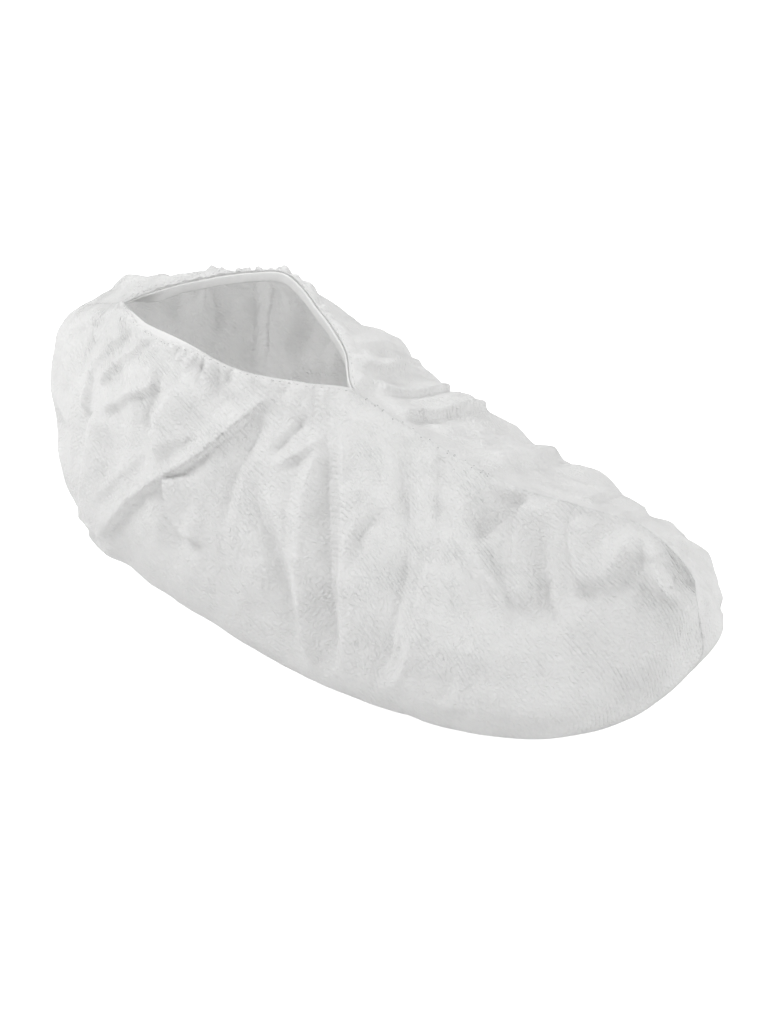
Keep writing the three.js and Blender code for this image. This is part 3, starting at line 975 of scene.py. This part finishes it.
class COVER_OT_seam(bpy.types.Operator):
    """Make the seam allowance that lies inside, between the two panels, with its overlocked edge"""

    bl_idname = "cover.seam"
    bl_label = "Seam"

    def execute(self, context):
        line, inward, run = seam_line(260)
        width = 6 + 0.5 * np.sin(run / 7) + 0.3 * np.sin(run / 2.3)
        shares = np.linspace(0, 1, 7)
        middle = np.stack([line + inward * (SEAM_SUNK + width * share)[:, None] for share in shares], 1)
        half_thick = np.array([0, 0.04, 0])
        vertices, faces = wall(middle + half_thick, middle - half_thick, True)
        make_piece("seam_allowance", vertices, faces, white_film(), wall_uv(middle))
        loops = []
        for k in range(0, len(run) - 2, 2):
            reach, aside = (2.6, 0.32) if k % 4 else (-0.4, -0.32)
            loops.append(middle[k, -1] - inward[k] * reach + np.array([0, aside, 0]))
        tube("overlock_thread", np.array(loops), 0.2, 6)
        return {"FINISHED"}


def tube(name, points, radius, sides):
    """A thread through the points."""
    ahead = unit(np.gradient(points, axis=0))
    across = unit(np.cross(ahead, np.array([0.3, 0.2, 1])))
    over = np.cross(ahead, across)
    turns = np.linspace(0, math.tau, sides, endpoint=False)
    lines = [points + radius * (across * math.cos(t) + over * math.sin(t)) for t in turns]
    round_piece(name, lines, sewing_thread_painted_shade())


def stitch_piece(name, rows):
    """One piece of many stitches, from (middle, ahead, normal, length, radius) rows. Each is a thread
    that dips into the cloth at both ends."""
    columns = (np.array(column).reshape(len(rows), 1, 1, -1) for column in zip(*rows))
    middle, ahead, normal, length, radius = columns
    share, thickness = np.array(STITCH_PROFILE).T[:, :, None, None]
    turns = np.arange(STITCH_SIDES)[:, None] * math.tau / STITCH_SIDES
    around = np.cross(normal, ahead) * np.cos(turns) + normal * np.sin(turns)
    centre = middle + ahead * (share * length / 2) + normal * (radius * (0.5 - 1.1 * share * share))
    vertices = centre + radius * thickness * around
    ring = list(range(STITCH_SIDES))
    last_ring = STITCH_SIDES * (len(STITCH_PROFILE) - 1)
    faces = []
    for first in range(0, vertices.size // 3, last_ring + STITCH_SIDES):
        for start in range(first, first + last_ring, STITCH_SIDES):
            for k in ring:
                a, b = start + k, start + (k + 1) % STITCH_SIDES
                faces.append([a, b, b + STITCH_SIDES, a + STITCH_SIDES])
        faces.append([first + k for k in ring[::-1]])
        faces.append([first + last_ring + k for k in ring])
    make_piece(name, vertices, faces, sewing_thread_painted_shade())


def rim_stitches(grid, normals, pitch, thread, random):
    """Rows for the stitches a little below a panel's edge."""
    columns = np.arange(len(grid))
    row = (distances(grid, 1) < 1.5).sum(1) - 1
    line, facing = grid[columns, row], normals[columns, row]
    last = int((panel_sections() <= RIM_END).sum()) - 2
    run = distances(line[:last])
    for place in np.arange(2, run[-1] - 1, pitch):
        i = min(int(np.searchsorted(run, place)), last - 2)
        length = pitch * random.uniform(0.25, 0.4)
        radius = random.uniform(0.1, 0.17) * thread
        yield line[i], unit(line[i + 1] - line[i - 1]), facing[i], length, radius


def instep_stitches(grid, normals, random):
    """Rows for the stitches beside the seam ahead of the opening."""
    sections, down = panel_sections(), distances(grid, 1)
    for section in np.arange(RIM_END + 0.15, 8.7, 0.11):
        if random.uniform() < 0.35:
            continue
        i = int(np.searchsorted(sections, section))
        j = int((down[i] < 1.1 + random.uniform(-0.3, 0.5)).sum()) - 1
        yield grid[i, j], unit(grid[i + 1, j] - grid[i - 1, j]), normals[i, j], 0.8, 0.22


class COVER_OT_stitches(bpy.types.Operator):
    """Make the stitches that hold the gathers to the elastic, and the few that show on the instep seam"""

    bl_idname = "cover.stitches"
    bl_label = "Stitches"

    def execute(self, context):
        if len(PANELS) < 2:
            raise RuntimeError("Make both panels before their stitches")
        pitch = context.scene.cover_sizes.stitch_pitch / MM
        random = np.random.RandomState(5)
        rim, instep = [], []
        for side in (RIGHT, LEFT):
            grid = PANELS[side.piece]
            normals = surface_normals(grid) * side.mirror
            rim += rim_stitches(grid, normals, pitch, side.thread, random)
            instep += instep_stitches(grid, normals, random)
        # The stitches' grey thread paints the shade of their needle holes.
        stitch_piece("rim_stitches", rim)
        stitch_piece("instep_stitches", instep)
        return {"FINISHED"}


# ---- stage ----

# Metres in the frame.
FLOOR_REACH, FLOOR_DROP = 4, 0.0002
KEY_PLACE, KEY_SIZE = (-0.85, -0.5, 1.4), 0.6
FILL_PLACE, FILL_SIZE = (1.1, 0.6, 0.7), 1.2
CAMERA_PLACE = Vector((0.7338, -0.8746, 0.8779))
CAMERA_AIM = Vector((0.0144, -0.0078, 0.0463))


class COVER_OT_stage(bpy.types.Operator):
    """Make the floor, the soft lights and the camera"""

    bl_idname = "cover.stage"
    bl_label = "Stage"

    def execute(self, context):
        settings = context.scene.cover_stage
        mesh = bpy.data.meshes.new("studio_floor")
        near, far = -FLOOR_REACH, FLOOR_REACH
        corners = [(near, near, 0), (far, near, 0), (far, far, 0), (near, far, 0)]
        mesh.from_pydata(corners, [], [(0, 1, 2, 3)])
        mesh.materials.append(studio_floor())
        floor = add_object("studio_floor", mesh)
        floor.location.z = -FLOOR_DROP
        floor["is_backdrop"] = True
        add_light("key_light", KEY_PLACE, KEY_SIZE, settings.key_power)
        add_light("fill_light", FILL_PLACE, FILL_SIZE, settings.fill_power)
        world = bpy.data.worlds.new("white_surround")
        world.use_nodes = True
        background = world.node_tree.nodes["Background"]
        background.inputs["Color"].default_value = (1, 1, 1, 1)
        background.inputs["Strength"].default_value = settings.sky
        context.scene.world = world
        add_camera(settings)
        context.scene.view_settings.view_transform = "Standard"
        return {"FINISHED"}


def add_light(name, place, size, power):
    """A round soft light that faces the middle of the frame."""
    light = bpy.data.lights.new(name, "AREA")
    light.shape, light.size, light.energy = "DISK", size, power
    lamp = add_object(name, light)
    lamp.location = place
    lamp.rotation_euler = (-Vector(place)).to_track_quat("-Z", "Y").to_euler()


def add_camera(settings):
    data = bpy.data.cameras.new("camera")
    data.lens = settings.lens
    camera = add_object("camera", data)
    camera.location = CAMERA_PLACE
    camera.rotation_mode = "QUATERNION"
    level = (CAMERA_AIM - CAMERA_PLACE).to_track_quat("-Z", "Y")
    camera.rotation_quaternion = level @ Quaternion((0, 0, 1), -settings.roll)
    bpy.context.scene.camera = camera


# ---- add-on ----


class COVER_PT_sidebar(bpy.types.Panel):
    """Lists the cover's settings and operators"""

    bl_label = "Shoe cover"
    bl_idname = "COVER_PT_sidebar"
    bl_space_type = "VIEW_3D"
    bl_region_type = "UI"
    bl_category = "Cover"

    def draw(self, context):
        layout = self.layout
        for name in SETTINGS:
            settings = getattr(context.scene, name)
            box = layout.box()
            for label in settings.__annotations__:
                box.prop(settings, label)
        for operator in OPERATORS:
            layout.operator(operator.bl_idname)


SETTINGS = {"cover_sizes": CoverSizes, "cover_finish": CoverFinish, "cover_stage": CoverStage}
OPERATORS = [
    COVER_OT_stage, COVER_OT_ankle_band, COVER_OT_right_panel, COVER_OT_left_panel, COVER_OT_seam,
    COVER_OT_stitches,
]
CLASSES = [*SETTINGS.values(), *OPERATORS, COVER_PT_sidebar]


def register():
    for cls in CLASSES:
        bpy.utils.register_class(cls)
    for name, cls in SETTINGS.items():
        setattr(bpy.types.Scene, name, bpy.props.PointerProperty(type=cls))


def unregister():
    for name in SETTINGS:
        delattr(bpy.types.Scene, name)
    for cls in reversed(CLASSES):
        bpy.utils.unregister_class(cls)


def main():
    register()
    bpy.ops.cover.stage()
    bpy.ops.cover.ankle_band()
    bpy.ops.cover.right_panel()
    bpy.ops.cover.left_panel()
    bpy.ops.cover.seam()
    bpy.ops.cover.stitches()
    boxes = {"cad": CAD_BOX, "visual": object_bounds()}
    {name: [list(corner) for corner in box] for name, box in boxes.items()}


if __name__ == "__main__":
    main()
